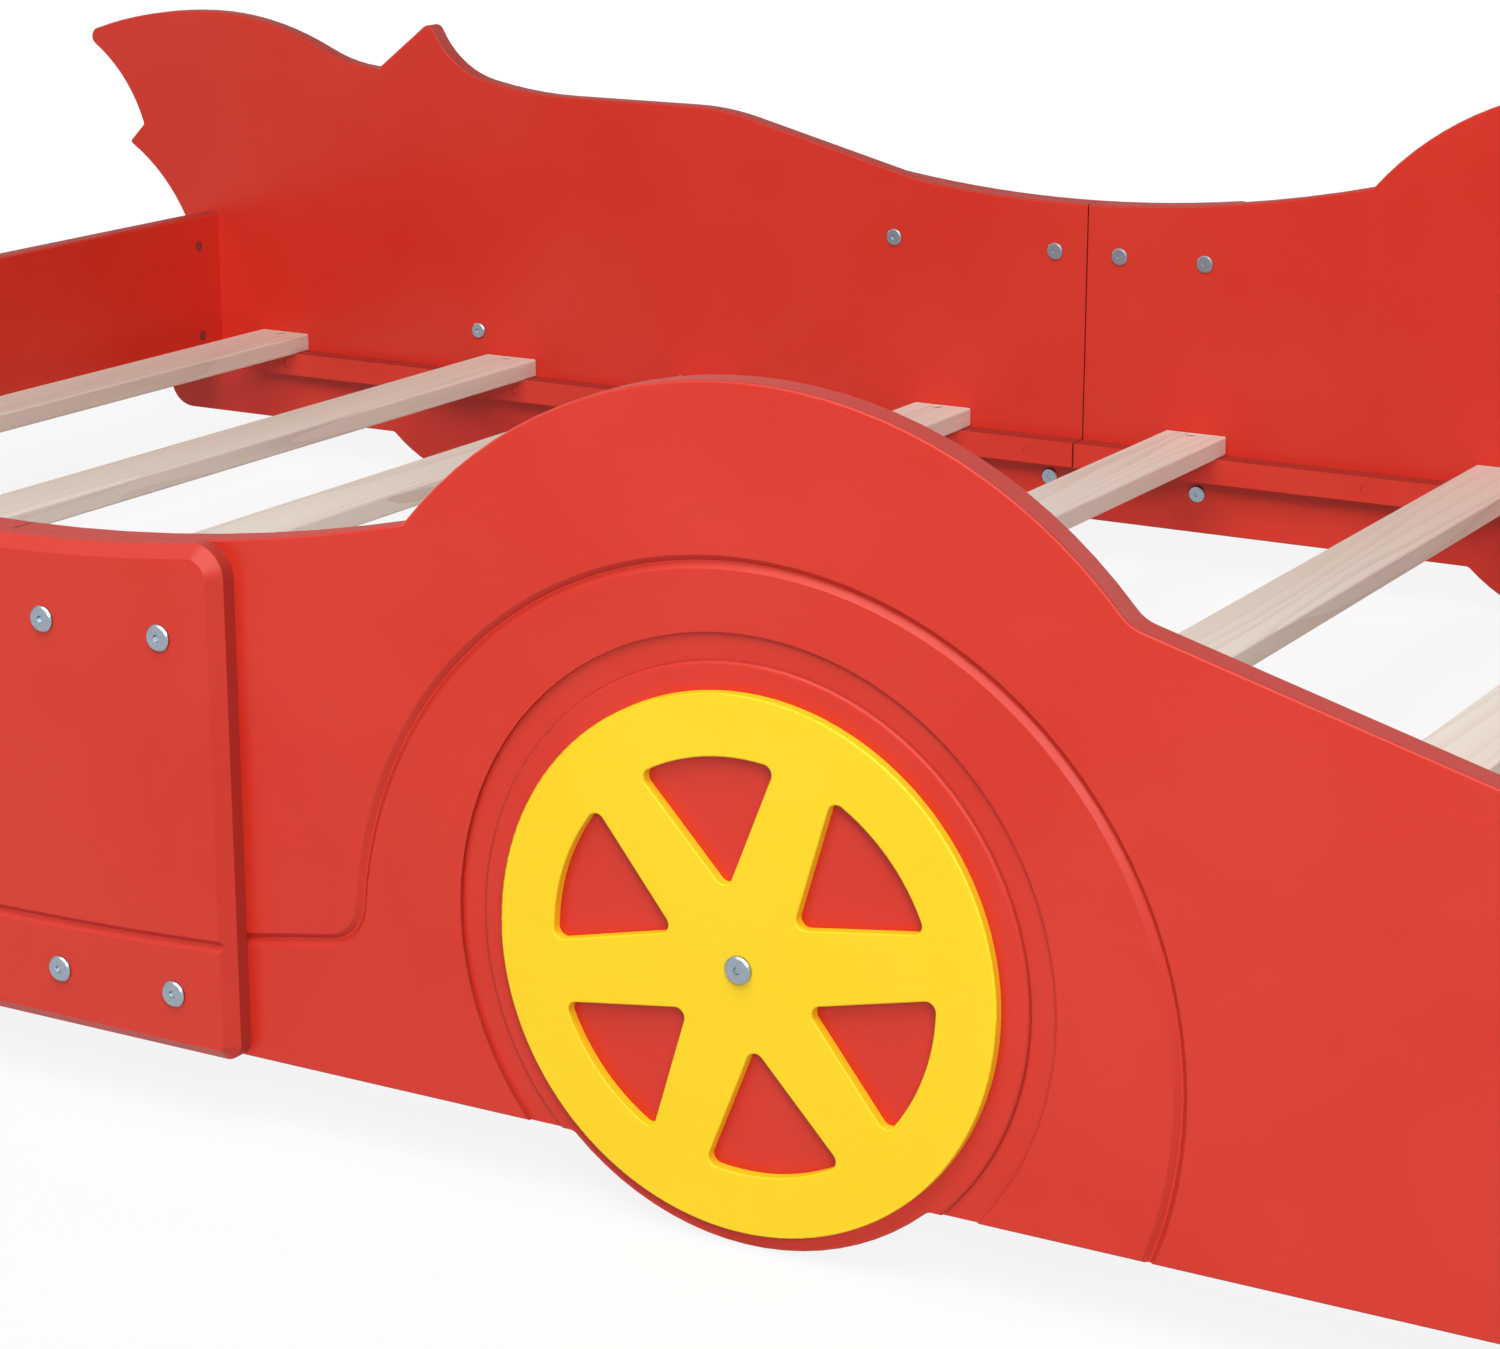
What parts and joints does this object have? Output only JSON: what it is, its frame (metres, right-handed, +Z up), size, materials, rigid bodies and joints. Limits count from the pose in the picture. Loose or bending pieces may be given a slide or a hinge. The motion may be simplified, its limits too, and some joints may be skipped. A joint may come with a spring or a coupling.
{
  "type": "children's car bed",
  "caption": "Low bed frame shaped like a racing car: painted board sides with winged fins, end boards, wooden slats on rails, and turning wheel discs.",
  "frame": {"origin": "on the floor, midway between nose and tail and between the two sides", "axes": "+X to the car's nose, +Y to its left side, +Z up"},
  "size_m": [2.162, 1.4624, 0.449],
  "materials": {
    "red_paint": "fibreboard, satin red paint",
    "yellow_paint": "fibreboard, satin yellow paint",
    "slat_wood": "pale softwood, sanded, unpainted",
    "zinc_steel": "bright zinc plated",
    "screw_steel": "zinc plated",
    "painted_screw": "painted over with the rail"
  },
  "bodies": {
    "bed": {"side_panel_left_front": "red_paint", "side_panel_left_rear": "red_paint", "side_panel_right_front": "red_paint", "side_panel_right_rear": "red_paint", "door_plate_left": "red_paint", "door_plate_right": "red_paint", "front_board": "red_paint", "rear_board": "red_paint", "slat_rail_left_front": "red_paint", "slat_rail_left_rear": "red_paint", "slat_rail_right_front": "red_paint", "slat_rail_right_rear": "red_paint", "slat_1": "slat_wood", "slat_2": "slat_wood", "slat_3": "slat_wood", "slat_4": "slat_wood", "slat_5": "slat_wood", "slat_6": "slat_wood", "slat_7": "slat_wood", "slat_8": "slat_wood", "door_bolts_left": "zinc_steel", "door_bolts_right": "zinc_steel", "door_sleeve_nuts_left": "zinc_steel", "door_sleeve_nuts_right": "zinc_steel", "wheel_bolts": "zinc_steel", "wheel_sleeve_nuts": "zinc_steel", "front_board_bolts": "zinc_steel", "rear_board_bolts": "zinc_steel", "front_board_cross_nuts": "zinc_steel", "rear_board_cross_nuts": "zinc_steel", "slat_screws_left": "screw_steel", "slat_screws_right": "screw_steel", "rail_screws_left_front": "painted_screw", "rail_screws_left_rear": "painted_screw", "rail_screws_right_front": "painted_screw", "rail_screws_right_rear": "painted_screw"},
    "wheel_left_front": {"wheel_left_front": "yellow_paint"},
    "wheel_left_rear": {"wheel_left_rear": "yellow_paint"},
    "wheel_right_front": {"wheel_right_front": "yellow_paint"},
    "wheel_right_rear": {"wheel_right_rear": "yellow_paint"}
  },
  "joints": [
    {"name": "wheel_left_front_spin", "type": "hinge", "parent": "bed", "child": "wheel_left_front", "pos_m": [0.491, 0.7163, 0.152], "axis": [0, 1, 0], "continuous": true},
    {"name": "wheel_left_rear_spin", "type": "hinge", "parent": "bed", "child": "wheel_left_rear", "pos_m": [-0.616, 0.7163, 0.152], "axis": [0, 1, 0], "continuous": true},
    {"name": "wheel_right_front_spin", "type": "hinge", "parent": "bed", "child": "wheel_right_front", "pos_m": [0.491, -0.7163, 0.152], "axis": [0, 1, 0], "continuous": true},
    {"name": "wheel_right_rear_spin", "type": "hinge", "parent": "bed", "child": "wheel_right_rear", "pos_m": [-0.616, -0.7163, 0.152], "axis": [0, 1, 0], "continuous": true}
  ]
}
